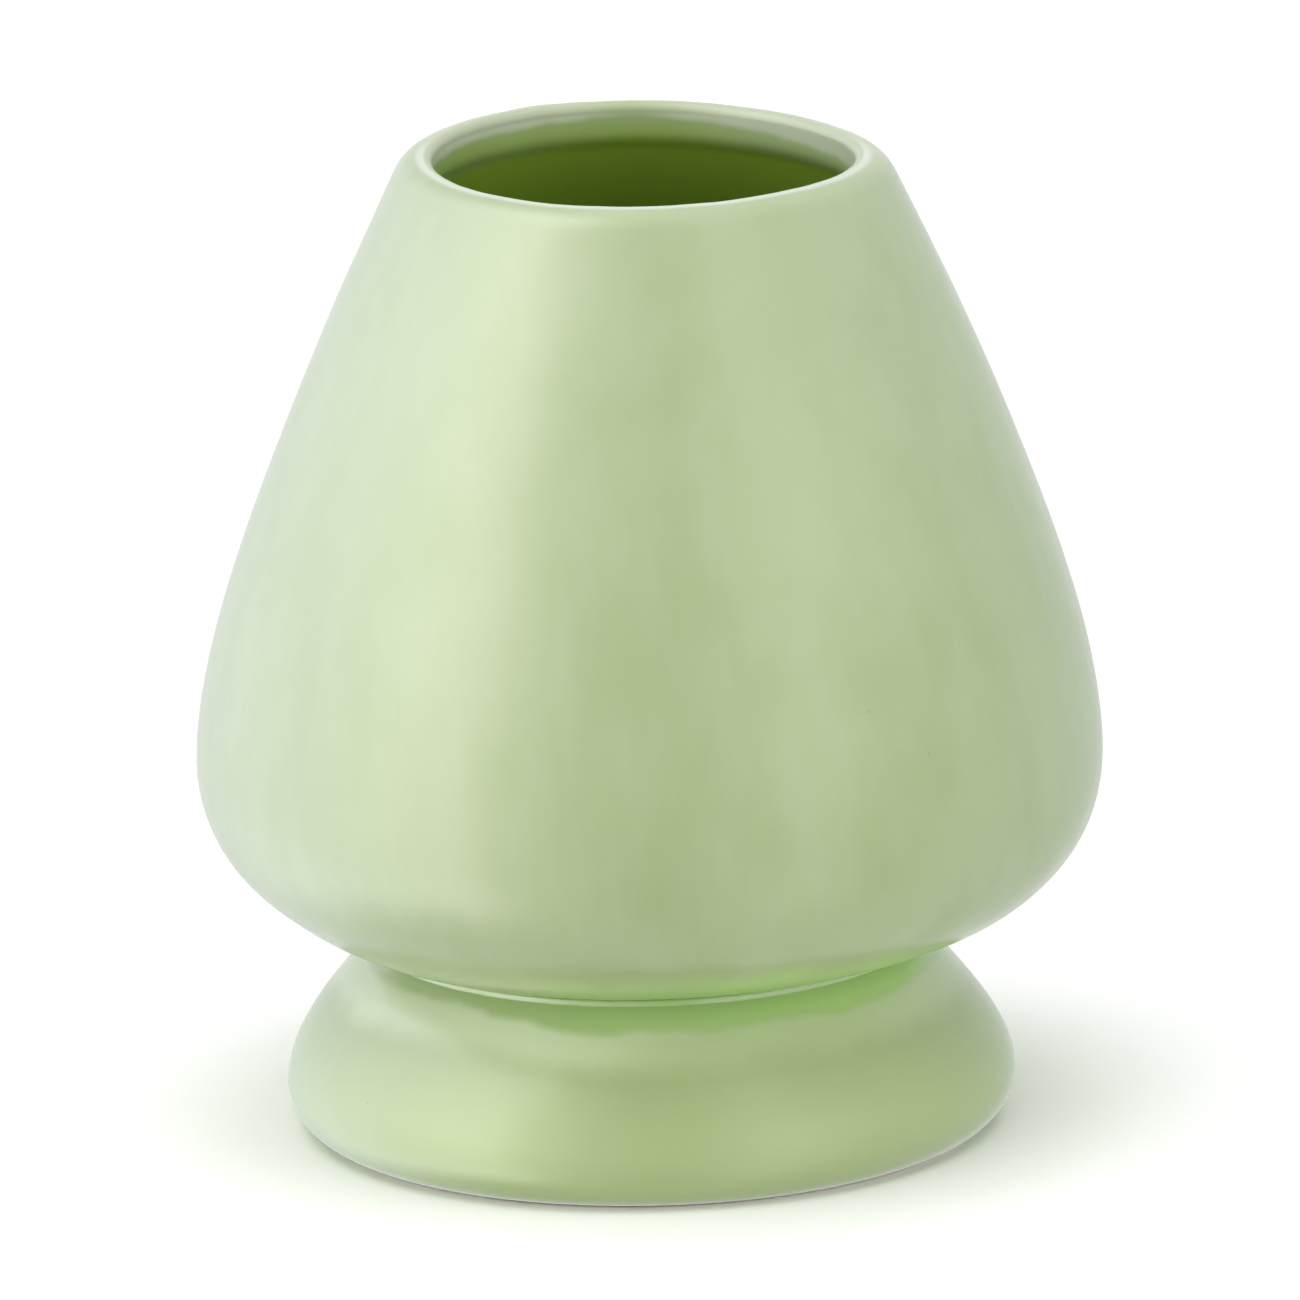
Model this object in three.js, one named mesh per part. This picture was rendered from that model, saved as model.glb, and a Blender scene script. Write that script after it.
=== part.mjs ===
// Glazed ceramic holder for a bamboo tea whisk (chasen): a hollow bulb with a narrow mouth,
// luted with a bead of slip on to a flared foot that is hollow underneath.
// Millimetres, +Z up. The origin is the centre of the ring that the foot stands on.
import * as THREE from 'three';

// Driving dimensions: the bulb
const HEIGHT = 70; // from the ring that the foot stands on to the crest of the lip
const BELLY_RADIUS = 31.95;
const BELLY_HEIGHT = 26.6;
const SIDE_LEAN = THREE.MathUtils.degToRad(25.1); // of the side under the lip, from upright
const LIP_HEIGHT = 1.8; // of the rounding outside the crest
const LIP_CREST_RADIUS = 15.4;
const SHOULDER_RADIUS = 17.8; // where the straight side ends and the lip begins
const MOUTH_RADIUS = 14.8;
const MOUTH_LAND = 1.9; // height of the upright band inside the lip
const LIP_EDGE = 0.7; // height of the rounding inside the crest
const WALL = 2.8;

// Driving dimensions: the neck and the foot
const NECK_RADIUS = 19.1; // bottom of the two fine grooves, above and below the bead of slip
const FOOT_HEIGHT = 13;
const SEAM_HEIGHT = 1;
const SEAM_BULGE = 0.4;
const SEAT_LEDGE = 0.3; // step from the groove to the outside of the bulb, and of the foot
const FOOT_SHOULDER_RADIUS = 20.4;
const FOOT_SHOULDER_DROP = 0.7;
const FOOT_RADIUS = 25.7;
const FOOT_WIDEST = 3.3; // height of the widest part of the foot
const RING_OUTER_RADIUS = 22.3; // the flat ring that the foot stands on
const RING_INNER_RADIUS = 18.4;
const RING_EDGE = 1.1; // rounding inside the ring
const RECESS_RADIUS = 13; // top of the hollow under the foot

const SIDES = 64; // facets round every piece
const QUARTER_HANDLE = 0.5523; // length of a cubic's handles for a quarter circle of radius 1

const BODY_GLAZE = { color: 0xb9cb9c, roughness: 0.22, metalness: 0 };
const POOLED_GLAZE = { color: 0x8fb364, roughness: 0.18, metalness: 0 };

// A point of an outline: distance from the axis, and height.
function at(radius, height) {
  return new THREE.Vector2(radius, height);
}

// Points of a cubic curve, without its first point.
function curve(start, startHandle, endHandle, end, steps) {
  return new THREE.CubicBezierCurve(start, startHandle, endHandle, end).getPoints(steps).slice(1);
}

// Points of a quarter ellipse whose end tangents meet at corner, without its first point.
function quarter(start, corner, end, steps) {
  const startHandle = start.clone().lerp(corner, QUARTER_HANDLE);
  const endHandle = end.clone().lerp(corner, QUARTER_HANDLE);
  return curve(start, startHandle, endHandle, end, steps);
}

// The same outline, moved to its left by a distance.
function offsetOutline(points, distance) {
  return points.map((point, i) => {
    const before = points[Math.max(i - 1, 0)];
    const after = points[Math.min(i + 1, points.length - 1)];
    const along = after.clone().sub(before).normalize();
    return at(point.x - along.y * distance, point.y + along.x * distance);
  });
}

// A solid of revolution about Z, from an outline that goes round the section anticlockwise.
function turned(name, outline, finish) {
  const geometry = new THREE.LatheGeometry(outline, SIDES);
  geometry.rotateX(Math.PI / 2);
  const mesh = new THREE.Mesh(geometry, new THREE.MeshStandardMaterial(finish));
  mesh.name = name;
  return mesh;
}

// The outside of the bulb, from the edge of its seat up to the lip's shoulder.
function bulbOutside(seatHeight) {
  const seatEdge = at(NECK_RADIUS + SEAT_LEDGE, seatHeight);
  const belly = at(BELLY_RADIUS, BELLY_HEIGHT);
  const shoulder = at(SHOULDER_RADIUS, HEIGHT - LIP_HEIGHT);
  const undersideReach = at(5.8, 1.3);
  const bellyDrop = 7.7;
  const bellyRise = 9.4;
  const sideReach = 17;
  const underside = curve(
    seatEdge,
    seatEdge.clone().add(undersideReach),
    at(belly.x, belly.y - bellyDrop),
    belly,
    10,
  );
  const side = curve(
    belly,
    at(belly.x, belly.y + bellyRise),
    at(shoulder.x + Math.sin(SIDE_LEAN) * sideReach, shoulder.y - Math.cos(SIDE_LEAN) * sideReach),
    shoulder,
    14,
  );
  return [seatEdge, ...underside, ...side];
}

// The lip, from its outside shoulder over the crest and down into the mouth.
function lip() {
  const shoulder = at(SHOULDER_RADIUS, HEIGHT - LIP_HEIGHT);
  const crest = at(LIP_CREST_RADIUS, HEIGHT);
  const mouthEdge = at(MOUTH_RADIUS, HEIGHT - LIP_EDGE);
  const rise = LIP_HEIGHT * QUARTER_HANDLE;
  return [
    ...curve(
      shoulder,
      at(shoulder.x - Math.sin(SIDE_LEAN) * rise, shoulder.y + Math.cos(SIDE_LEAN) * rise),
      at(crest.x + (shoulder.x - crest.x) * QUARTER_HANDLE, crest.y),
      crest,
      5,
    ),
    ...quarter(crest, at(mouthEdge.x, crest.y), mouthEdge, 3),
  ];
}

// The hollow upper body. Its wall has one thickness, and its floor closes the bottom.
function bulb() {
  const seatHeight = FOOT_HEIGHT + SEAM_HEIGHT;
  const outside = bulbOutside(seatHeight);
  const landFoot = at(MOUTH_RADIUS, HEIGHT - LIP_EDGE - MOUTH_LAND);
  const inside = offsetOutline(outside, WALL).filter((point) => point.y < landFoot.y - WALL / 2);
  inside.reverse();
  const floorHeight = inside.at(-1).y;
  return turned(
    'bulb',
    [at(0, seatHeight), ...outside, ...lip(), landFoot, ...inside, at(0, floorHeight)],
    BODY_GLAZE,
  );
}

// The bead of joining slip. Its rounded edge shows as a fine line in the neck.
function lutingSeam() {
  const bottom = FOOT_HEIGHT;
  const top = FOOT_HEIGHT + SEAM_HEIGHT;
  const middle = at(NECK_RADIUS + SEAM_BULGE, (bottom + top) / 2);
  const lowEdge = at(NECK_RADIUS, bottom);
  const highEdge = at(NECK_RADIUS, top);
  return turned(
    'luting_seam',
    [
      at(RECESS_RADIUS, bottom),
      lowEdge,
      ...quarter(lowEdge, at(middle.x, bottom), middle, 3),
      ...quarter(middle, at(middle.x, top), highEdge, 3),
      at(RECESS_RADIUS, top),
      at(RECESS_RADIUS, bottom),
    ],
    POOLED_GLAZE,
  );
}

// The flared foot: a flat ring to stand on, a rounded skirt, and a hollow that is open below.
function foot() {
  const ringOuter = at(RING_OUTER_RADIUS, 0);
  const ringInner = at(RING_INNER_RADIUS, 0);
  const widest = at(FOOT_RADIUS, FOOT_WIDEST);
  const shoulder = at(FOOT_SHOULDER_RADIUS, FOOT_HEIGHT - FOOT_SHOULDER_DROP);
  const topEdge = at(NECK_RADIUS + SEAT_LEDGE, FOOT_HEIGHT);
  const recessTop = at(RECESS_RADIUS, FOOT_HEIGHT);
  const recessFoot = at(RING_INNER_RADIUS - RING_EDGE, RING_EDGE);
  const skirtRise = 2.7;
  const shoulderReach = at(2.7, -3.4);
  const recessRise = 6;
  return turned(
    'foot',
    [
      ringInner,
      ringOuter,
      ...quarter(ringOuter, at(widest.x, 0), widest, 6),
      ...curve(
        widest,
        at(widest.x, widest.y + skirtRise),
        shoulder.clone().add(shoulderReach),
        shoulder,
        9,
      ),
      ...quarter(shoulder, at(FOOT_SHOULDER_RADIUS - FOOT_SHOULDER_DROP, topEdge.y), topEdge, 2),
      recessTop,
      ...curve(
        recessTop,
        at(recessTop.x, recessTop.y - recessRise),
        at(recessFoot.x, recessFoot.y + recessRise),
        recessFoot,
        7,
      ),
      ...quarter(recessFoot, at(recessFoot.x, 0), ringInner, 3),
    ],
    BODY_GLAZE,
  );
}

const whiskHolder = new THREE.Group();
whiskHolder.add(bulb(), lutingSeam(), foot());

export default whiskHolder;
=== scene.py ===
"""A glazed ceramic tea-whisk holder: the looks of its bulb, its joining bead and its foot.

Every piece is a turned surface, finer than the CAD solid that it stands for, with the small
faults of a pot that was made by hand: a slight lean, an uneven lip and a wavy skin of glaze.
Metres, in the CAD model's frame.
"""
import math

import bpy
from mathutils import Matrix, Vector, noise

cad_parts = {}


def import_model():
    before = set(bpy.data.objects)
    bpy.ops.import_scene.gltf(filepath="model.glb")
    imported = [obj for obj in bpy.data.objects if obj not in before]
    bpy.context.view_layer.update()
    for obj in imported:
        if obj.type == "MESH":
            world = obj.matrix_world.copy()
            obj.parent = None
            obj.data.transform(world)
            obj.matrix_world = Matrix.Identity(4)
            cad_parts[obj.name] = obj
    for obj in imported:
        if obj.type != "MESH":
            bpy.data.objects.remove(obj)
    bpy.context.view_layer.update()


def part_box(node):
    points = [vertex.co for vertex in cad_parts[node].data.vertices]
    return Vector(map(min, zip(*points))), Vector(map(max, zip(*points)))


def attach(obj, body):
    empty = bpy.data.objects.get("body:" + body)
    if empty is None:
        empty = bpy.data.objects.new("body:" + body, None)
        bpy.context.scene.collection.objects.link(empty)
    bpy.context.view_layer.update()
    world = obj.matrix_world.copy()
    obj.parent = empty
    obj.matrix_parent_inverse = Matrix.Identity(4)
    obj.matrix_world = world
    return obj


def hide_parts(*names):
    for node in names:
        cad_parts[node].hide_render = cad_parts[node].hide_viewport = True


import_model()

MM = 0.001

# Sizes from the frame
bulb_low, bulb_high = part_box("bulb")
seam_low, seam_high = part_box("luting_seam")
foot_low, foot_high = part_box("foot")
HEIGHT = bulb_high.z
SEAT = bulb_low.z
SEAM_LOW = seam_low.z
SEAM_HIGH = seam_high.z
FOOT_BOTTOM = foot_low.z
FOOT_TOP = foot_high.z
BELLY_RADIUS = bulb_high.x
FOOT_RADIUS = foot_high.x

# Outline of the bulb
BELLY_HEIGHT = 26.6 * MM
SIDE_LEAN = math.radians(25.1)
SHOULDER_RADIUS = 17.8 * MM
LIP_HEIGHT = 1.8 * MM
LIP_CREST_RADIUS = 15.4 * MM
LIP_EDGE = 0.6 * MM
MOUTH_RADIUS = 14.8 * MM
MOUTH_LAND = 1.4 * MM
WALL = 2.8 * MM

# Outline of the neck and the foot
NECK_RADIUS = 19.1 * MM
SEAT_LEDGE = 0.3 * MM
FOOT_SHOULDER_RADIUS = 20.4 * MM
FOOT_SHOULDER_DROP = 0.7 * MM
FOOT_WIDEST = 3.3 * MM
RING_OUTER_RADIUS = 22.3 * MM
RING_INNER_RADIUS = 18.4 * MM
RING_EDGE = 1.1 * MM
RECESS_RADIUS = 13.0 * MM
BARE_EDGE = 0.25 * MM  # the glaze stops this far above the ring
BEAD_HEIGHT = 13.7 * MM
BEAD_HALF_WIDTH = 0.25 * MM
BEAD_BULGE = 0.13 * MM  # what shows of it above the glaze in its grooves
CREASE_RISE = 0.4 * MM  # glaze in the crease over the bead

# Faults of a pot made by hand
BULB_LEAN = math.radians(0.95)  # towards +X
BULB_BOW = 0.25 * MM
LIP_WAVE = -0.15 * MM
LIP_LUMPS = 0.05 * MM
LIP_DIP = 0.2 * MM  # towards -Y
FOOT_SWELL = 0.33 * MM  # of the foot's shoulder, towards -X
SKIN_WAVE = 0.07 * MM
SKIN_WAVES = 70  # to the metre
SKIN_RIPPLE = 0.015 * MM
SKIN_RIPPLES = 260  # to the metre

# Colours of the glaze, with its painted highlights, bounce light and shade
# Deep green inside the bulb: thick glaze, and painted shade where little light reaches in
INSIDE_DEEP_AND_SHADE = (0.20, 0.33, 0.03)
DEEP = (0.31, 0.475, 0.155)
BODY_LOW = (0.262, 0.330, 0.158)
BODY_HIGH = (0.292, 0.356, 0.186)
BODY_PALE = (0.33, 0.388, 0.235)
# The foot's glaze: thick glaze, with painted green bounce light from the bulb above
FOOT_GREEN_AND_BOUNCE = (0.30, 0.385, 0.165)
# Pale thin glaze, also used for the painted highlight on the bead's ridge
THIN_GLAZE_AND_HIGHLIGHT = (0.42, 0.48, 0.33)
# Painted highlight on the foot's shoulder
SHOULDER_HIGHLIGHT = (0.50, 0.59, 0.37)
RIM = (0.385, 0.43, 0.30)
RIM_LOW = (0.48, 0.53, 0.38)
# Painted highlight along the crest of the lip
CREST_HIGHLIGHT = (0.50, 0.55, 0.455)
PINHOLE_COLOUR = (0.2, 0.24, 0.1)

# Colours of the bare clay
CLAY_DARK = (0.62, 0.57, 0.47)
CLAY_LIGHT = (0.78, 0.74, 0.65)
CLAY_STAIN = (0.6, 0.5, 0.36)

# Roughness. The outside and the pool stay under 0.27 and the inside over 0.28, because a
# denoiser treats the two sides of that step differently and shows where a surface crosses it.
OUTSIDE_ROUGHNESS = 0.235
INSIDE_ROUGHNESS = 0.36
POOL_ROUGHNESS = 0.23
CLAY_ROUGHNESS = 0.85
GLOSS_CHANGE = 0.03

# Places and sizes in the glaze and in its painted light and shade, in millimetres
FOOT_GREEN_FULL = 12  # the foot's greener glaze, with painted green bounce light from the bulb's underside, full from here down
FOOT_GREEN_NONE = 15
PALER_LOW = 24  # the body turns paler between these
PALER_HIGH = 66
POOL_LOW = 12.15
POOL_HIGH = 16.0
POOL_EDGE = 0.4  # half the width of its lower edge
POOL_FADE = 2.4  # width of its upper edge
POOL_WANDER = 1.8
SHOULDER_HIGHLIGHT_LOW = 3.4  # the painted highlight on the foot's shoulder fades in between these depths under the pool's edge
SHOULDER_HIGHLIGHT_HIGH = 1.2
FOOT_RIM_HIGH = 0.9  # glaze collects under this, at the foot's lower edge, deepened further as painted contact shadow
FOOT_RIM_LOW = 0.2
LIP_THIN_LOW = 68.6
LIP_THIN_HIGH = 69.8
# Radius and soft edge of the painted highlight along the crest
CREST_OUTER = 15.95
CREST_EDGE = 0.25
RAGGED_RIM = 0.6
PINHOLE_SPACING = 4.0
PINHOLE_RADIUS = 0.16
PINHOLE_SHARE = 0.12
PEEL_DEPTH = 0.02 * MM
CLAY_GRAIN_DEPTH = 0.04 * MM
GLAZE_IOR = 1.5

ROUND = 288  # steps round each piece
CREASE_STEPS = 7  # of the underside, replaced by the crease
ON_AXIS = 1e-9  # a smaller radius than this is one point
SHARP_CORNER = math.radians(50)
QUARTER_HANDLE = 0.5523  # length of a cubic's handles for a quarter circle of radius 1
LIP_HANDLE = 0.6  # the same outside the lip, which is squarer than that


# ---------------------------------------------------------------- outlines

def cubic(start, start_handle, end_handle, end, steps):
    """Points of a cubic curve, without its first point. A point is (radius, height)."""
    points = []
    for i in range(1, steps + 1):
        t = i / steps
        s = 1 - t
        points.append(tuple(
            s ** 3 * a + 3 * s * s * t * b + 3 * s * t * t * c + t ** 3 * d
            for a, b, c, d in zip(start, start_handle, end_handle, end)))
    return points


def quarter(start, corner, end, steps):
    """A quarter ellipse whose end tangents meet at corner, without its first point."""
    start_handle = [a + (c - a) * QUARTER_HANDLE for a, c in zip(start, corner)]
    end_handle = [b + (c - b) * QUARTER_HANDLE for b, c in zip(end, corner)]
    return cubic(start, start_handle, end_handle, end, steps)


def line(start, end, steps):
    """A straight stretch, without its first point."""
    shares = [i / steps for i in range(1, steps + 1)]
    return [tuple(a + (b - a) * share for a, b in zip(start, end)) for share in shares]


def offset(points, distance):
    """The same outline, moved to its left."""
    moved = []
    for i, (radius, height) in enumerate(points):
        before = points[max(i - 1, 0)]
        after = points[min(i + 1, len(points) - 1)]
        along = (after[0] - before[0], after[1] - before[1])
        length = math.hypot(*along)
        moved.append((radius - along[1] / length * distance,
                      height + along[0] / length * distance))
    return moved


def bulb_outline():
    """From the middle of the underside, out and up to the lip, and down inside to the floor."""
    seat_inner = (NECK_RADIUS, SEAT)
    seat_edge = (NECK_RADIUS + SEAT_LEDGE, BEAD_HEIGHT + BEAD_HALF_WIDTH)
    belly = (BELLY_RADIUS, BELLY_HEIGHT)
    shoulder = (SHOULDER_RADIUS, HEIGHT - LIP_HEIGHT)
    crest = (LIP_CREST_RADIUS, HEIGHT)
    mouth_edge = (MOUTH_RADIUS, HEIGHT - LIP_EDGE)
    land_foot = (MOUTH_RADIUS, HEIGHT - LIP_EDGE - MOUTH_LAND)
    underside_reach = (5.7 * MM, 1.35 * MM)
    belly_drop = 7.7 * MM
    belly_rise = 9.4 * MM
    side_reach = 17 * MM
    lip_rise = LIP_HEIGHT * LIP_HANDLE
    underside = cubic(
        seat_edge,
        (seat_edge[0] + underside_reach[0], seat_edge[1] + underside_reach[1]),
        (belly[0], belly[1] - belly_drop),
        belly, steps=44)
    side = cubic(
        belly,
        (belly[0], belly[1] + belly_rise),
        (shoulder[0] + math.sin(SIDE_LEAN) * side_reach,
         shoulder[1] - math.cos(SIDE_LEAN) * side_reach),
        shoulder, steps=72)
    lip_outside = cubic(
        shoulder,
        (shoulder[0] - math.sin(SIDE_LEAN) * lip_rise,
         shoulder[1] + math.cos(SIDE_LEAN) * lip_rise),
        (crest[0] + (shoulder[0] - crest[0]) * LIP_HANDLE, crest[1]),
        crest, steps=16)
    lip_inside = quarter(crest, (mouth_edge[0], crest[1]), mouth_edge, steps=10)
    land = line(mouth_edge, land_foot, steps=6)
    outside = [seat_edge] + underside + side
    inside = [p for p in offset(outside, WALL) if p[1] < land_foot[1] - WALL / 2]
    inside.reverse()
    under_land = cubic(
        land_foot,
        (land_foot[0], (land_foot[1] + inside[0][1]) / 2),
        (2 * inside[0][0] - inside[1][0], 2 * inside[0][1] - inside[1][1]),
        inside[0], steps=10)
    join, after = underside[CREASE_STEPS - 1:CREASE_STEPS + 1]
    crease_reach = 3  # in steps of the underside
    crease = cubic(
        seat_edge,
        (seat_edge[0], seat_edge[1] + CREASE_RISE),
        (join[0] - crease_reach * (after[0] - join[0]),
         join[1] - crease_reach * (after[1] - join[1])),
        join, steps=12)
    middle_under = (0.0, SEAT)
    middle_floor = (0.0, inside[-1][1])
    return ([middle_under] + line(middle_under, seat_inner, steps=16) + [seat_edge]
            + crease + underside[CREASE_STEPS:] + side
            + lip_outside + lip_inside + land + under_land
            + inside[1:] + line(inside[-1], middle_floor, steps=16))


def seam_outline():
    """A ring of slip. Only a fine ridge of it shows between the glaze of the bulb and the foot.

    It closes on itself.
    """
    surface = NECK_RADIUS + SEAT_LEDGE
    low_inner = (RECESS_RADIUS, SEAM_LOW)
    low_outer = (NECK_RADIUS, SEAM_LOW)
    high_outer = (NECK_RADIUS, SEAM_HIGH)
    high_inner = (RECESS_RADIUS, SEAM_HIGH)
    ridge_low = (surface, BEAD_HEIGHT - BEAD_HALF_WIDTH)
    ridge = (surface + BEAD_BULGE, BEAD_HEIGHT)
    ridge_high = (surface, BEAD_HEIGHT + BEAD_HALF_WIDTH)
    return (line(low_inner, low_outer, steps=4)
            + [ridge_low]
            + quarter(ridge_low, (ridge[0], ridge_low[1]), ridge, steps=6)
            + quarter(ridge, (ridge[0], ridge_high[1]), ridge_high, steps=6)
            + [high_outer]
            + line(high_outer, high_inner, steps=4)
            + line(high_inner, low_inner, steps=4))


def foot_outline():
    """From the ring that it stands on, up outside, and down the hollow. It closes on itself."""
    ring_outer = (RING_OUTER_RADIUS, FOOT_BOTTOM)
    ring_inner = (RING_INNER_RADIUS, FOOT_BOTTOM)
    widest = (FOOT_RADIUS, FOOT_WIDEST)
    shoulder = (FOOT_SHOULDER_RADIUS, FOOT_TOP - FOOT_SHOULDER_DROP)
    top_edge = (NECK_RADIUS + SEAT_LEDGE, BEAD_HEIGHT - BEAD_HALF_WIDTH)
    top_inner = (NECK_RADIUS, FOOT_TOP)
    recess_top = (RECESS_RADIUS, FOOT_TOP)
    recess_foot = (RING_INNER_RADIUS - RING_EDGE, RING_EDGE)
    skirt_rise = 2.7 * MM
    shoulder_reach = (2.7 * MM, -3.4 * MM)
    recess_rise = 6 * MM
    return (line(ring_inner, ring_outer, steps=8)
            + quarter(ring_outer, (widest[0], FOOT_BOTTOM), widest, steps=24)
            + cubic(widest, (widest[0], widest[1] + skirt_rise),
                    (shoulder[0] + shoulder_reach[0], shoulder[1] + shoulder_reach[1]),
                    shoulder, steps=40)
            + line(shoulder, top_edge, steps=8)
            + [top_inner]
            + line(top_inner, recess_top, steps=6)
            + cubic(recess_top, (recess_top[0], recess_top[1] - recess_rise),
                    (recess_foot[0], recess_foot[1] + recess_rise), recess_foot, steps=30)
            + quarter(recess_foot, (recess_foot[0], FOOT_BOTTOM), ring_inner, steps=8))


# ---------------------------------------------------------------- meshes

def smooth_step(low, high, value):
    """0 under low, 1 over high, and smooth between them."""
    t = min(max((value - low) / (high - low), 0.0), 1.0)
    return t * t * (3 - 2 * t)


def skin_wave(point):
    """How far the glaze stands proud of the turned shape: slow waves with fine ripples on them."""
    elsewhere = Vector((5, 3, 1))  # so that the ripples don't follow the waves
    slow = noise.noise(point * SKIN_WAVES)
    fine = noise.noise(point * SKIN_RIPPLES + elsewhere)
    return slow * SKIN_WAVE + fine * SKIN_RIPPLE


def turned(name, outline, closed):
    """A surface of revolution about Z. A closed outline meets itself, an open one the axis."""
    vertices, faces = [], []
    rings = []
    for radius, height in outline:
        if radius < ON_AXIS:
            rings.append([len(vertices)] * ROUND)
            vertices.append(Vector((0, 0, height)))
            continue
        rings.append(list(range(len(vertices), len(vertices) + ROUND)))
        for i in range(ROUND):
            angle = 2 * math.pi * i / ROUND
            x, y = radius * math.cos(angle), radius * math.sin(angle)
            vertices.append(Vector((x, y, height)))
    pairs = list(zip(rings, rings[1:]))
    if closed:
        pairs.append((rings[-1], rings[0]))
    for low, high in pairs:
        for i in range(ROUND):
            j = (i + 1) % ROUND
            corners = [low[i], low[j], high[j], high[i]]
            face = [c for k, c in enumerate(corners) if c != corners[k - 1]]
            faces.append(face)
    mesh = bpy.data.meshes.new(name)
    mesh.from_pydata(vertices, [], faces)
    mesh.validate()
    for polygon in mesh.polygons:
        polygon.use_smooth = True
    mesh.set_sharp_from_angle(angle=SHARP_CORNER)
    piece = bpy.data.objects.new(name, mesh)
    bpy.context.scene.collection.objects.link(piece)
    return piece


def roughen(piece):
    """Moves each vertex along its normal by the wave of the glaze.

    It leaves the ring flat, and the joins beside the bead as they are.
    """
    join_smooth = 0.7 * MM  # from the bead
    join_rough = 1.7 * MM
    normals = [v.normal.copy() for v in piece.data.vertices]
    for vertex, normal in zip(piece.data.vertices, normals):
        share = smooth_step(BARE_EDGE, FOOT_WIDEST, vertex.co.z)
        share *= smooth_step(join_smooth, join_rough, abs(vertex.co.z - BEAD_HEIGHT))
        vertex.co += normal * skin_wave(vertex.co) * share


def swell(piece):
    """Makes the foot's shoulder fuller on its -X side."""
    full_low, full_high = 10 * MM, 11 * MM
    for vertex in piece.data.vertices:
        co = vertex.co
        share = smooth_step(FOOT_WIDEST, full_low, co.z) - smooth_step(full_high, FOOT_TOP, co.z)
        radius = co.xy.length
        if radius > NECK_RADIUS:
            co.x -= FOOT_SWELL * share * max(0.0, -co.x / radius)


def lean(piece):
    """Leans the bulb on its foot, bows it a little, and makes the lip's height uneven."""
    tilt = Matrix.Rotation(BULB_LEAN, 3, "Y")
    pivot = Vector((0, 0, SEAT))
    lip_zone = 0.8  # share of the bulb's height where the lip's waves begin
    settled = 0.06  # share of it where the lean is complete
    wave_turn = 0.6  # radians, of the wave round the lip
    slow_lumps, fine_lumps = 3.2, 2.3  # the fine ones count on from the slow ones
    for vertex in piece.data.vertices:
        co = vertex.co.copy()
        rise = (co.z - SEAT) / (HEIGHT - SEAT)
        angle = math.atan2(co.y, co.x)
        near_lip = smooth_step(lip_zone, 1.0, rise)
        co.x += BULB_BOW * math.sin(math.pi * rise)
        round_lip = Vector((math.cos(angle), math.sin(angle), 0)) * slow_lumps
        lumpy = noise.noise(round_lip) + 0.5 * noise.noise(round_lip * fine_lumps)
        wave = LIP_WAVE * math.sin(2 * angle + wave_turn)
        dip = LIP_DIP * max(0.0, -math.sin(angle)) ** 2
        co.z += near_lip * (wave + LIP_LUMPS * lumpy - dip)
        away = tilt @ (co - pivot) + pivot
        settle = smooth_step(0.0, settled, rise)
        vertex.co = co.lerp(away, settle)


# ---------------------------------------------------------------- materials

def node(tree, kind, inputs, **settings):
    """Adds a node. inputs maps a socket to its value, or to the output that feeds it."""
    made = tree.nodes.new("ShaderNode" + kind)
    for setting, value in settings.items():
        setattr(made, setting, value)
    for socket, value in inputs.items():
        if isinstance(value, bpy.types.NodeSocket):
            tree.links.new(value, made.inputs[socket])
        else:
            made.inputs[socket].default_value = value
    return made


def maths(tree, operation, first, second=0.0):
    """The output of a node that works on two numbers."""
    return node(tree, "Math", {0: first, 1: second}, operation=operation).outputs[0]


def fade(tree, value, none, full, most=1.0):
    """0 where value is at none, rising smoothly to most where it is at full."""
    sockets = {"Value": value, "From Min": none, "From Max": full, "To Min": 0.0, "To Max": most}
    return node(tree, "MapRange", sockets, interpolation_type="SMOOTHSTEP").outputs[0]


def blend(tree, share, colour, other):
    """colour, with a share of the other colour in it."""
    first = (*colour, 1) if isinstance(colour, tuple) else colour
    second = (*other, 1) if isinstance(other, tuple) else other
    return node(tree, "Mix", {0: share, 6: first, 7: second}, data_type="RGBA").outputs[2]


def lumps(tree, place, size, detail=2.0, seed=0.0):
    """Noise from 0 to 1 in lumps of about this size, in millimetres."""
    sockets = {"Vector": place, "W": seed, "Scale": 1 / size, "Detail": detail}
    return node(tree, "TexNoise", sockets, noise_dimensions="4D").outputs["Fac"]


def millimetres(tree):
    """The place on the object in millimetres, and its X, Y and Z one by one."""
    place = node(tree, "TexCoord", {}).outputs["Object"]
    place = node(tree, "VectorMath", {0: place, "Scale": 1 / MM}, operation="SCALE").outputs[0]
    east, north, height = node(tree, "SeparateXYZ", {0: place}).outputs
    return place, east, north, height


def new_material(name):
    """A material, its node tree and its shader."""
    material = bpy.data.materials.new(name)
    material.use_nodes = True
    return material, material.node_tree, material.node_tree.nodes["Principled BSDF"]


def pinholes(tree, place):
    """1 in the middle of a few pinholes that are left where bubbles burst in the kiln, else 0."""
    sockets = {"Vector": place, "Scale": 1 / PINHOLE_SPACING}
    cells = node(tree, "TexVoronoi", sockets)
    chosen = node(tree, "SeparateColor", {0: cells.outputs["Color"]}).outputs[0]
    near = fade(tree, cells.outputs["Distance"], PINHOLE_RADIUS / PINHOLE_SPACING, 0.0)
    return maths(tree, "MULTIPLY", near, maths(tree, "GREATER_THAN", chosen, 1 - PINHOLE_SHARE))


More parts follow.
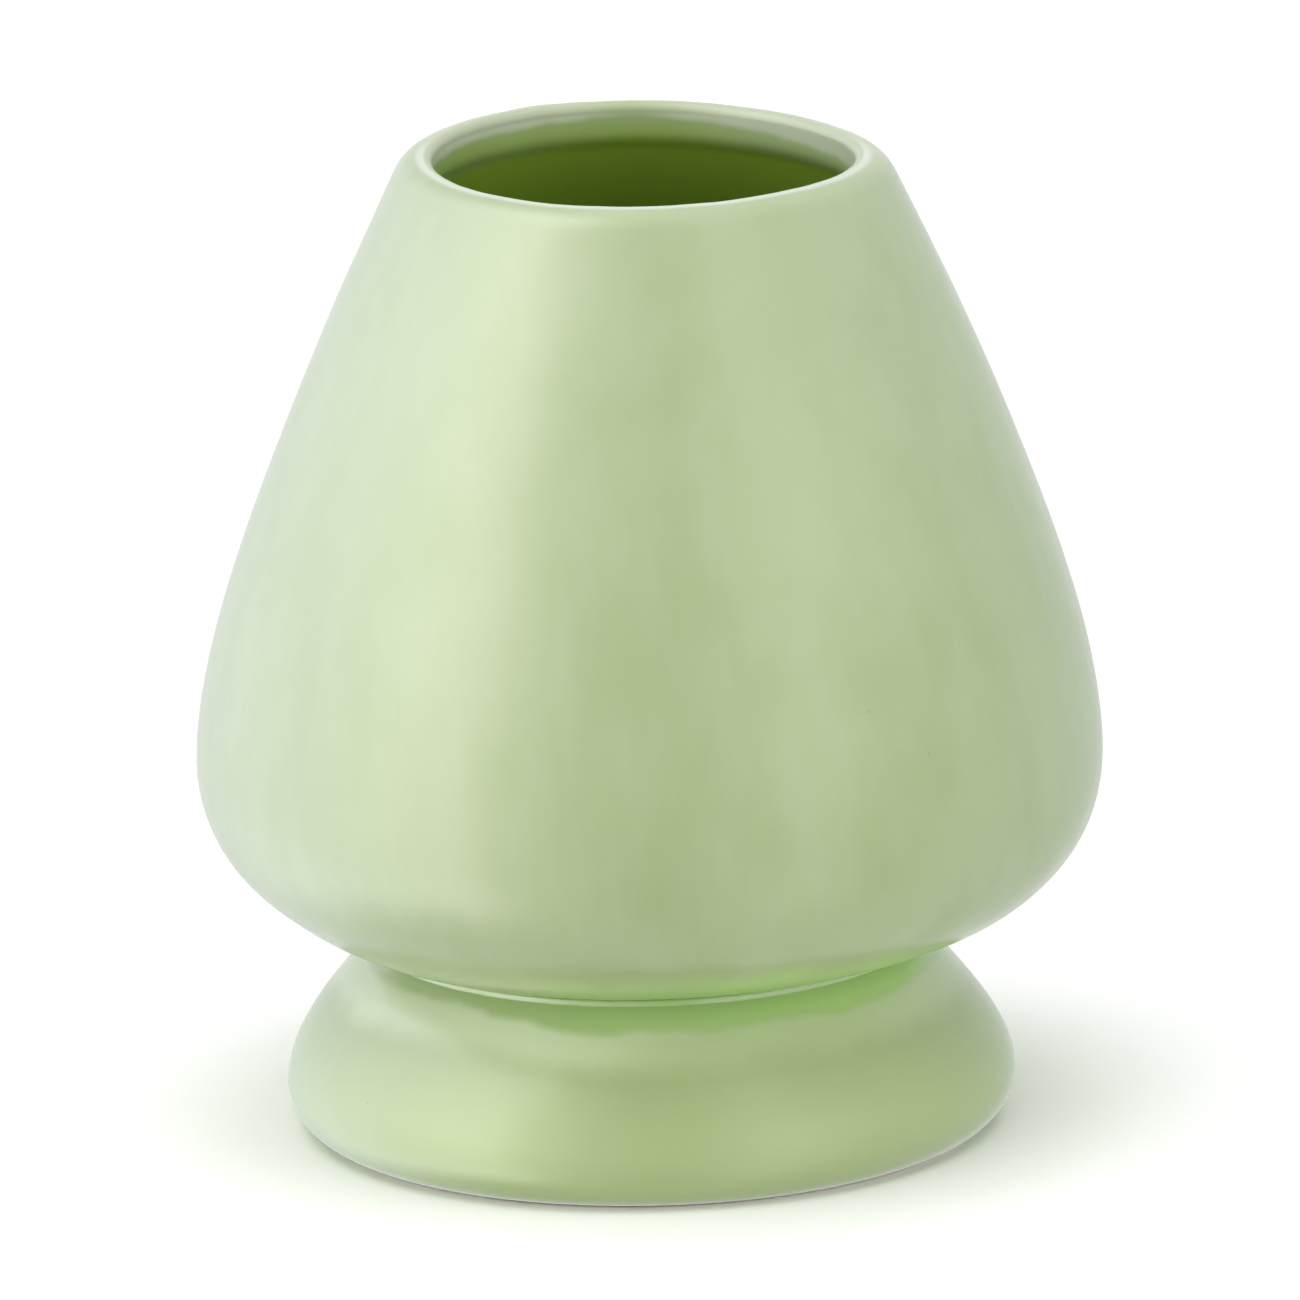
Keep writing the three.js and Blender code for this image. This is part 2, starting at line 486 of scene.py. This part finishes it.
def finish_glaze(tree, shader, place, colour, roughness):
    """Joins the colour to the shader, with pinholes, uneven gloss and a faint orange peel."""
    hole_shade = 0.5
    hole_depth = 2  # in depths of the peel
    haze_size, peel_size, fine_peel_size = 6, 2.6, 0.5
    fine_peel_share = 0.12
    holes = pinholes(tree, place)
    colour = blend(tree, maths(tree, "MULTIPLY", holes, hole_shade), colour, PINHOLE_COLOUR)
    tree.links.new(colour, shader.inputs["Base Color"])
    haze = lumps(tree, place, haze_size, detail=3, seed=2)
    uneven = node(tree, "MapRange", {"Value": haze, "To Min": roughness - GLOSS_CHANGE,
                                     "To Max": roughness + GLOSS_CHANGE}).outputs[0]
    tree.links.new(uneven, shader.inputs["Roughness"])
    slow_peel = lumps(tree, place, peel_size, detail=1, seed=3)
    fine_peel = lumps(tree, place, fine_peel_size, detail=1, seed=4)
    peel = maths(tree, "ADD", slow_peel, maths(tree, "MULTIPLY", fine_peel, fine_peel_share))
    relief = maths(tree, "SUBTRACT", peel, maths(tree, "MULTIPLY", holes, hole_depth))
    bump = node(tree, "Bump", {"Height": relief, "Strength": 1.0, "Distance": PEEL_DEPTH})
    tree.links.new(bump.outputs["Normal"], shader.inputs["Normal"])
    shader.inputs["IOR"].default_value = GLAZE_IOR


def mottled_body(tree, place, height):
    """The glaze over an open wall: slow cloudy changes, greener and brighter on the foot from
    thick glaze and painted bounce light from the bulb, and paler towards the top.
    """
    cloud_size, run_size = 11, 3.5
    upright = (1, 1, 0.25)  # makes the runs taller than they are wide
    cloud = fade(tree, lumps(tree, place, cloud_size, detail=5, seed=1), 0.3, 0.7)
    stretched = node(tree, "VectorMath", {0: place, 1: upright}, operation="MULTIPLY").outputs[0]
    runs = lumps(tree, stretched, run_size, detail=3, seed=7)
    colour = blend(tree, cloud, BODY_LOW, BODY_HIGH)
    colour = blend(tree, fade(tree, runs, 0.35, 0.75, most=0.35), colour, BODY_PALE)
    # The foot is greener and brighter: thick glaze, and painted green bounce light from the bulb
    foot_green_and_bounce = fade(tree, height, FOOT_GREEN_NONE, FOOT_GREEN_FULL, most=0.8)
    colour = blend(tree, foot_green_and_bounce, colour, FOOT_GREEN_AND_BOUNCE)
    return blend(tree, fade(tree, height, PALER_LOW, PALER_HIGH, most=0.25), colour, THIN_GLAZE_AND_HIGHLIGHT)


def mouth_radius(tree, place):
    """Distance from the middle of the mouth, which the bulb's lean has carried towards +X."""
    carried = math.sin(BULB_LEAN) * (HEIGHT - SEAT) / MM
    sockets = {0: place, 1: (1, 1, 0), 2: (-carried, 0, 0)}
    flat = node(tree, "VectorMath", sockets, operation="MULTIPLY_ADD").outputs[0]
    return node(tree, "VectorMath", {0: flat}, operation="LENGTH").outputs["Value"]


def shoulder_highlight(tree, east, low_edge):
    """A painted highlight on the foot's shoulder, under the pool's edge, strongest on its -X side.
    """
    below = fade(tree, low_edge, POOL_LOW - SHOULDER_HIGHLIGHT_LOW, POOL_LOW - SHOULDER_HIGHLIGHT_HIGH)
    band = maths(tree, "MULTIPLY", below, fade(tree, low_edge, POOL_LOW + 0.3, POOL_LOW - 0.5))
    one_side = maths(tree, "ADD", fade(tree, east, 4, -9, most=0.6), 0.4)
    return maths(tree, "MULTIPLY", band, one_side)


def neck_pool(tree, place, east, low_edge, high_edge):
    """How much glaze has pooled in the neck, more in some stretches than in others."""
    above = fade(tree, low_edge, POOL_LOW - POOL_EDGE, POOL_LOW + POOL_EDGE)
    below = fade(tree, high_edge, POOL_HIGH + POOL_FADE, POOL_HIGH)
    stretches = lumps(tree, place, 8, detail=1, seed=9)
    fuller = maths(tree, "ADD", fade(tree, stretches, 0.25, 0.6, most=0.3), 0.65)
    uneven = node(tree, "MapRange", {"Value": east, "From Min": -14, "From Max": 6,
                                     "To Min": 0.25, "To Max": 1.0}).outputs[0]
    strength = maths(tree, "MULTIPLY", fuller, uneven)
    return maths(tree, "MULTIPLY", maths(tree, "MULTIPLY", above, below), strength)


def crest_highlight(tree, place, north, height):
    """How much painted highlight lies along the crest of the lip, in front and not behind."""
    radius = mouth_radius(tree, place)
    within = fade(tree, radius, CREST_OUTER + CREST_EDGE, CREST_OUTER - CREST_EDGE)
    high = fade(tree, height, LIP_THIN_LOW, LIP_THIN_LOW + 0.4)
    in_front = fade(tree, north, 8, -2)
    return maths(tree, "MULTIPLY", maths(tree, "MULTIPLY", within, high), in_front)


def outside_glaze():
    """Pale green glaze: deep green where it has run into the neck, with painted highlights on the
    foot's shoulder and along the lip's crest, and pooled glaze with painted contact shadow at the
    foot's lower edge.
    """
    material, tree, shader = new_material("celadon_glaze")
    place, east, north, height = millimetres(tree)
    colour = mottled_body(tree, place, height)
    wander = maths(tree, "SUBTRACT", lumps(tree, place, 6, detail=3, seed=5), 0.5)
    high_edge = maths(tree, "ADD", height, maths(tree, "MULTIPLY", wander, POOL_WANDER))
    narrower = fade(tree, east, -5, -14, most=0.7)
    low_edge = maths(tree, "SUBTRACT", high_edge, narrower)
    colour = blend(tree, shoulder_highlight(tree, east, low_edge), colour, SHOULDER_HIGHLIGHT)
    colour = blend(tree, neck_pool(tree, place, east, low_edge, high_edge), colour, DEEP)
    # Deep green at the foot's lower edge: pooled glaze, and painted contact shadow by the table
    foot_rim_pool_and_shadow = fade(tree, height, FOOT_RIM_HIGH, FOOT_RIM_LOW, most=0.5)
    colour = blend(tree, foot_rim_pool_and_shadow, colour, DEEP)
    lip = fade(tree, height, LIP_THIN_LOW, LIP_THIN_HIGH, most=0.25)
    colour = blend(tree, lip, colour, THIN_GLAZE_AND_HIGHLIGHT)
    colour = blend(tree, crest_highlight(tree, place, north, height), colour, CREST_HIGHLIGHT)
    finish_glaze(tree, shader, place, colour, OUTSIDE_ROUGHNESS)
    return material


def rim_pale_and_highlight(tree, place, east, off_middle, depth):
    """How pale the ragged rim inside the lip is: pale where the glaze runs thin, with a painted
    highlight that reaches further down at the sides and towards +X.
    """
    sides = maths(tree, "MULTIPLY", off_middle, 0.06)
    sides = maths(tree, "ADD", sides, maths(tree, "MULTIPLY", east, 0.02))
    ragged = maths(tree, "MULTIPLY", lumps(tree, place, 2.5, detail=2, seed=12), RAGGED_RIM)
    past_rim = maths(tree, "SUBTRACT", depth, maths(tree, "ADD", sides, ragged))
    pale = maths(tree, "ADD", fade(tree, off_middle, 0, 5, most=0.5), 0.45)
    return maths(tree, "MULTIPLY", fade(tree, past_rim, 0.7, 0.1), pale)


def inside_glaze():
    """The same glaze inside, laid on thick, with painted shade where little light reaches in, so
    that it is deeper green away from the light, and painted lighter on its +X side, where light
    from the -X lamps falls in.
    """
    material, tree, shader = new_material("celadon_glaze_inside")
    place, east, _, height = millimetres(tree)
    colour = mottled_body(tree, place, height)
    top = HEIGHT / MM
    land_foot = (HEIGHT - LIP_EDGE - MOUTH_LAND) / MM
    # The depth under the crest, which the lean has lowered towards +X
    lowered = maths(tree, "MULTIPLY", east, -math.sin(BULB_LEAN))
    depth = maths(tree, "SUBTRACT", maths(tree, "ADD", lowered, top), height)
    off_middle = maths(tree, "ABSOLUTE", east)
    # Deeper green further down: thick glaze and painted shade, lighter towards +X as painted light
    # from the -X lamps
    deep_and_shade = maths(tree, "ADD", fade(tree, depth, 0.8, 2.2, most=0.3), 0.37)
    deep_and_shade = maths(tree, "SUBTRACT", deep_and_shade, fade(tree, east, 2, 11, most=0.3))
    colour = blend(tree, deep_and_shade, colour, INSIDE_DEEP_AND_SHADE)
    # Thin glaze on the rim inside the lip, lighter lower down, with a painted highlight at the
    # sides and towards +X
    rim_colour = blend(tree, fade(tree, depth, 0.4, 0.8), RIM, RIM_LOW)
    rim = rim_pale_and_highlight(tree, place, east, off_middle, depth)
    colour = blend(tree, rim, colour, rim_colour)
    # The wall under the upright band is deep green, thick glaze with painted shade, from a little
    # lower at the sides
    level = maths(tree, "ADD", height, maths(tree, "MULTIPLY", off_middle, 0.07))
    colour = blend(tree, fade(tree, level, land_foot + 0.2, land_foot - 1.0), colour, INSIDE_DEEP_AND_SHADE)
    finish_glaze(tree, shader, place, colour, INSIDE_ROUGHNESS)
    shader.inputs["Specular IOR Level"].default_value = 0.3
    return material


def pooled_glaze():
    """Glaze round the bead of slip: a painted highlight along its ridge, deep green beside it."""
    material, tree, shader = new_material("pooled_glaze")
    place, east, _, height = millimetres(tree)
    off_ridge = maths(tree, "ABSOLUTE", maths(tree, "SUBTRACT", height, BEAD_HEIGHT / MM))
    # A painted highlight along the bead's ridge
    ridge = fade(tree, off_ridge, BEAD_HALF_WIDTH / MM, 0.5 * BEAD_HALF_WIDTH / MM)
    broken = fade(tree, lumps(tree, place, 5, detail=2, seed=11), 0.3, 0.6, most=0.6)
    uneven = fade(tree, east, 2, -14, most=0.45)
    colour = blend(tree, uneven, DEEP, BODY_PALE)
    colour = blend(tree, maths(tree, "MULTIPLY", ridge, broken), colour, THIN_GLAZE_AND_HIGHLIGHT)
    finish_glaze(tree, shader, place, colour, POOL_ROUGHNESS)
    return material


def bare_clay():
    """The ring that the foot stands on: fired clay wiped clean of glaze, with a fine grain."""
    material, tree, shader = new_material("bare_clay")
    place = millimetres(tree)[0]
    grain = lumps(tree, place, 0.35, detail=4, seed=6)
    stain = fade(tree, lumps(tree, place, 5, detail=3, seed=8), 0.45, 0.75, most=0.5)
    colour = blend(tree, grain, CLAY_DARK, CLAY_LIGHT)
    tree.links.new(blend(tree, stain, colour, CLAY_STAIN), shader.inputs["Base Color"])
    shader.inputs["Roughness"].default_value = CLAY_ROUGHNESS
    bump = node(tree, "Bump", {"Height": grain, "Strength": 1.0, "Distance": CLAY_GRAIN_DEPTH})
    tree.links.new(bump.outputs["Normal"], shader.inputs["Normal"])
    return material


# ---------------------------------------------------------------- the object

def paint(piece, materials, choose):
    """Gives the piece its materials. choose says which one a face takes, from its middle."""
    for material in materials:
        piece.data.materials.append(material)
    for polygon in piece.data.polygons:
        polygon.material_index = choose(polygon)


def faces_inward(polygon):
    """1 for the faces inside the bulb, from the crest of the lip down."""
    middle = polygon.center
    across = middle.x * polygon.normal.x + middle.y * polygon.normal.y
    facing_up = 0.2  # least Z of the normal of a face of the floor
    on_floor = polygon.normal.z > facing_up and middle.xy.length < LIP_CREST_RADIUS
    return int((across < 0 or on_floor) and middle.z > SEAT + WALL / 2)


def stands_on_table(polygon):
    """1 for the faces of the ring that the foot stands on."""
    return int(polygon.center.z < BARE_EDGE)


celadon = outside_glaze()
bulb = turned("bulb_glazed", bulb_outline(), closed=False)
paint(bulb, (celadon, inside_glaze()), faces_inward)
seam = turned("luting_seam_glazed", seam_outline(), closed=True)
paint(seam, (pooled_glaze(),), lambda polygon: 0)
foot = turned("foot_glazed", foot_outline(), closed=True)
paint(foot, (celadon, bare_clay()), stands_on_table)
for piece, node_name, slot_name in ((bulb, "bulb", "celadon_glaze"),
                                    (seam, "luting_seam", "pooled_glaze"),
                                    (foot, "foot", "celadon_glaze")):
    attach(piece, "root")
    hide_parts(node_name)
for piece in (bulb, seam, foot):
    roughen(piece)
lean(bulb)
swell(foot)


# ---------------------------------------------------------------- floor, light and camera

def area_light(name, place, size, power):
    """A rectangular lamp that is turned to the object, and isn't seen in its gloss."""
    data = bpy.data.lights.new(name, "AREA")
    data.shape = "RECTANGLE"
    data.size, data.size_y = size
    data.energy = power
    lamp = bpy.data.objects.new(name, data)
    lamp.location = place
    lamp.visible_glossy = False
    toward = LAMP_AIM - Vector(place)
    lamp.rotation_euler = toward.to_track_quat("-Z", "Y").to_euler()
    bpy.context.scene.collection.objects.link(lamp)


def lamps():
    """One wide lamp overhead, and three soft cards round the front."""
    area_light("overhead", (-0.1, -0.05, 1.5), (2.4, 2.4), 40)
    card_distance = 1.4
    card_height = 0.5
    card_size = (1.6, 0.7)
    for azimuth, power in ((-62, 10.5), (0, 5), (62, 12)):
        turn = math.radians(azimuth)
        x, y = math.sin(turn) * card_distance, -math.cos(turn) * card_distance
        area_light("soft_card", (x, y, card_height), card_size, power)


def white_floor():
    """A square of white table, wide enough to reach past the frame of a low view."""
    size = 0.7  # from its middle to each side
    mesh = bpy.data.meshes.new("floor")
    corners = [(-size, -size, 0), (size, -size, 0), (size, size, 0), (-size, size, 0)]
    mesh.from_pydata(corners, [], [(0, 1, 2, 3)])
    floor = bpy.data.objects.new("floor", mesh)
    bpy.context.scene.collection.objects.link(floor)
    material = bpy.data.materials.new("floor_white")
    material.use_nodes = True
    shader = material.node_tree.nodes["Principled BSDF"]
    shader.inputs["Base Color"].default_value = (0.95, 0.95, 0.95, 1)
    shader.inputs["Roughness"].default_value = 0.9
    shader.inputs["Specular IOR Level"].default_value = 0.1
    floor.visible_glossy = False
    mesh.materials.append(material)


def world(turns):
    """Soft light all round, seen only in the gloss: turns holds (azimuth, brightness, tint).

    Azimuth 0 is towards -Y, where the camera stands, and +90 is towards +X.
    """
    made = bpy.data.worlds.new("studio")
    made.use_nodes = True
    tree = made.node_tree
    place = node(tree, "TexCoord", {}).outputs["Generated"]
    east, north, up = node(tree, "SeparateXYZ", {0: place}).outputs
    azimuth = maths(tree, "ARCTAN2", east, maths(tree, "MULTIPLY", north, -1))
    turn = node(tree, "MapRange", {"Value": azimuth, "From Min": -math.pi, "From Max": math.pi})
    ramp = node(tree, "ValToRGB", {0: turn.outputs[0]})
    ramp.color_ramp.interpolation = "B_SPLINE"
    brightest = max(level * max(tint) for _, level, tint in turns)
    steep = (STEEP_LEVEL / brightest,) * 3
    stops = ramp.color_ramp.elements
    while len(stops) < len(turns):
        stops.new(0.5)
    for stop, (azimuth, level, tint) in zip(stops, turns):
        stop.position = azimuth / 360 + 0.5
        stop.color = (*(level / brightest * share for share in tint), 1)
    downward = fade(tree, up, -0.55, -0.95)
    upward = fade(tree, up, 0.9, 1.0)
    colour = blend(tree, downward, ramp.outputs["Color"], steep)
    colour = blend(tree, upward, colour, steep)
    background = tree.nodes["Background"]
    tree.links.new(colour, background.inputs["Color"])
    background.inputs["Strength"].default_value = brightest
    made.cycles_visibility.diffuse = False
    bpy.context.scene.world = made


def camera():
    """A long lens in front of the object, a little above it and rolled a little."""
    elevation = math.radians(14.79)
    roll = math.radians(1.35)
    distance = 1.5
    aim = Vector((0.00056, 0, 0.03406))
    back = Vector((0, -math.cos(elevation), math.sin(elevation)))
    data = bpy.data.cameras.new("camera")
    data.lens = 590.4
    data.sensor_width = 36
    lens = bpy.data.objects.new("camera", data)
    lens.location = aim + back * distance
    turn = (-back).to_track_quat("-Z", "Y").to_matrix()
    lens.rotation_euler = (turn @ Matrix.Rotation(-roll, 3, "Z")).to_euler()
    data.clip_start, data.clip_end = 0.1, 50
    bpy.context.scene.collection.objects.link(lens)
    bpy.context.scene.camera = lens


LAMP_AIM = Vector((0, 0, 0.035))
COOL = (0.95, 0.98, 1.1)
NEUTRAL = (1, 1, 1)
WARM = (1.04, 0.97, 1.0)
STEEP_LEVEL = 0.9
STUDIO_TURNS = (
    (-180, 1.1, NEUTRAL), (-150, 1.1, COOL), (-116, 4.2, COOL), (-93, 5.2, COOL),
    (-73, 5.6, NEUTRAL), (-55, 6.4, WARM), (-41, 3.2, WARM), (-27, 1.4, NEUTRAL),
    (-13, 0.7, NEUTRAL), (0, 0.3, NEUTRAL), (15, 0.3, NEUTRAL), (29, 1.3, NEUTRAL),
    (44, 1.9, WARM), (60, 0.9, NEUTRAL), (77, 0.8, NEUTRAL), (95, 0.95, COOL),
    (120, 1.0, COOL), (150, 0.8, COOL), (180, 1.1, NEUTRAL),
)
white_floor()
world(STUDIO_TURNS)
lamps()
camera()
bpy.context.scene.view_settings.view_transform = "Standard"
